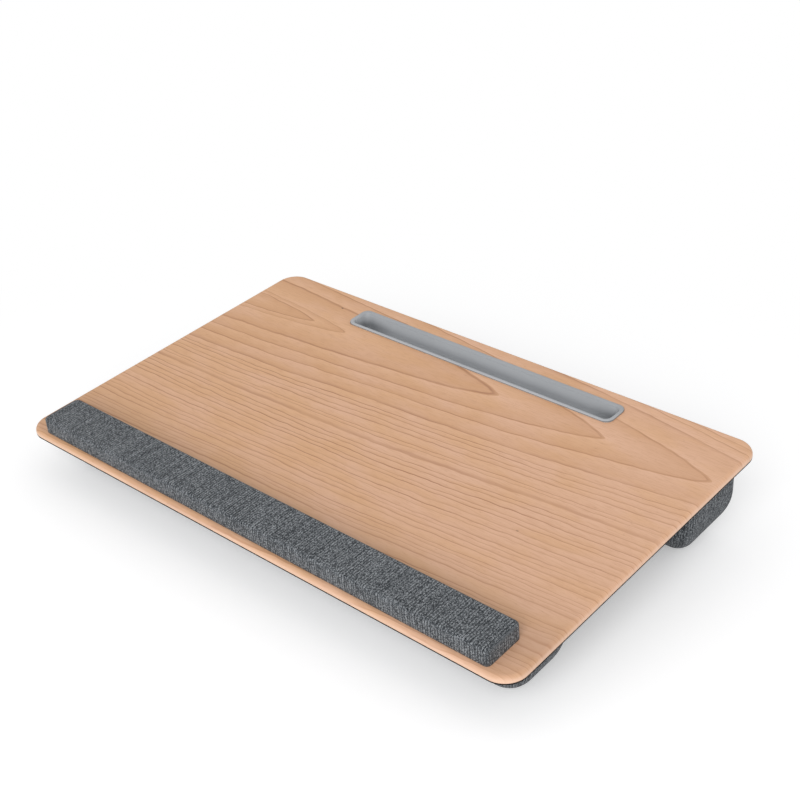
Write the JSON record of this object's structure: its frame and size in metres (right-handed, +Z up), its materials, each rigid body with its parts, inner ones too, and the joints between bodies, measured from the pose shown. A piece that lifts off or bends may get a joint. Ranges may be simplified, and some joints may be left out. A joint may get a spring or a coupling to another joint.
{
  "type": "lap desk",
  "caption": "Sloping wood-faced lap desk with a padded fabric wrist rest, a slot tray for phones and pens, and two zipped foam bolsters underneath.",
  "frame": {"origin": "on the floor, under the middle of the footprint", "axes": "+X to the user's right, +Y from the user to the rear edge, +Z up"},
  "size_m": [0.55, 0.347, 0.0832],
  "materials": {
    "fibreboard": "raw pressed fibre, matt",
    "wood": "pale wood grain with brown lines, satin",
    "dark_liner": "dark non-woven sheet, matt",
    "grey_plastic": "light grey moulded plastic, satin",
    "tape": "white foam tape",
    "grey_fabric": "heathered grey linen-look weave",
    "base_strip": "stiff black sheet",
    "foam": "open-cell foam",
    "panel_cloth": "black non-woven cloth",
    "steel": "bright wire",
    "zip_tape": "woven dark grey tape",
    "zip_coil": "nylon coil",
    "zip_metal": "dark lacquered zinc"
  },
  "bodies": {
    "desk": {"board_core": "fibreboard", "wood_veneer": "wood", "underside_liner": "dark_liner", "slot_tray": "grey_plastic", "tray_tape": "tape", "wrist_cover": "grey_fabric", "wrist_base": "base_strip", "wrist_foam": "foam", "wrist_tape": "tape", "rear_cover": "grey_fabric", "rear_foam": "foam", "rear_top_panel": "panel_cloth", "rear_staples": "steel", "rear_zip_tapes": "zip_tape", "rear_zip_coil": "zip_coil", "rear_zip_stops": "zip_metal", "front_cover": "grey_fabric", "front_foam": "foam", "front_top_panel": "panel_cloth", "front_staples": "steel", "front_zip_tapes": "zip_tape", "front_zip_coil": "zip_coil", "front_zip_stops": "zip_metal"},
    "rear_slider": {"rear_zip_slider": "zip_metal"},
    "rear_pull": {"rear_zip_pull": "zip_metal"},
    "front_slider": {"front_zip_slider": "zip_metal"},
    "front_pull": {"front_zip_pull": "zip_metal"}
  },
  "joints": [
    {"name": "rear_zip_slide", "type": "slide", "parent": "desk", "child": "rear_slider", "axis": [1, 0, 0], "range_m": [0, 0.4044]},
    {"name": "rear_pull_swing", "type": "hinge", "parent": "rear_slider", "child": "rear_pull", "pos_m": [-0.2022, 0.07172, 0.0602], "axis": [0, 0.107, -0.9943], "range_deg": [0, 175]},
    {"name": "front_zip_slide", "type": "slide", "parent": "desk", "child": "front_slider", "axis": [1, 0, 0], "range_m": [0, 0.4044]},
    {"name": "front_pull_swing", "type": "hinge", "parent": "front_slider", "child": "front_pull", "pos_m": [-0.2022, -0.07772, 0.04412], "axis": [0, -0.107, 0.9943], "range_deg": [0, 175]}
  ]
}
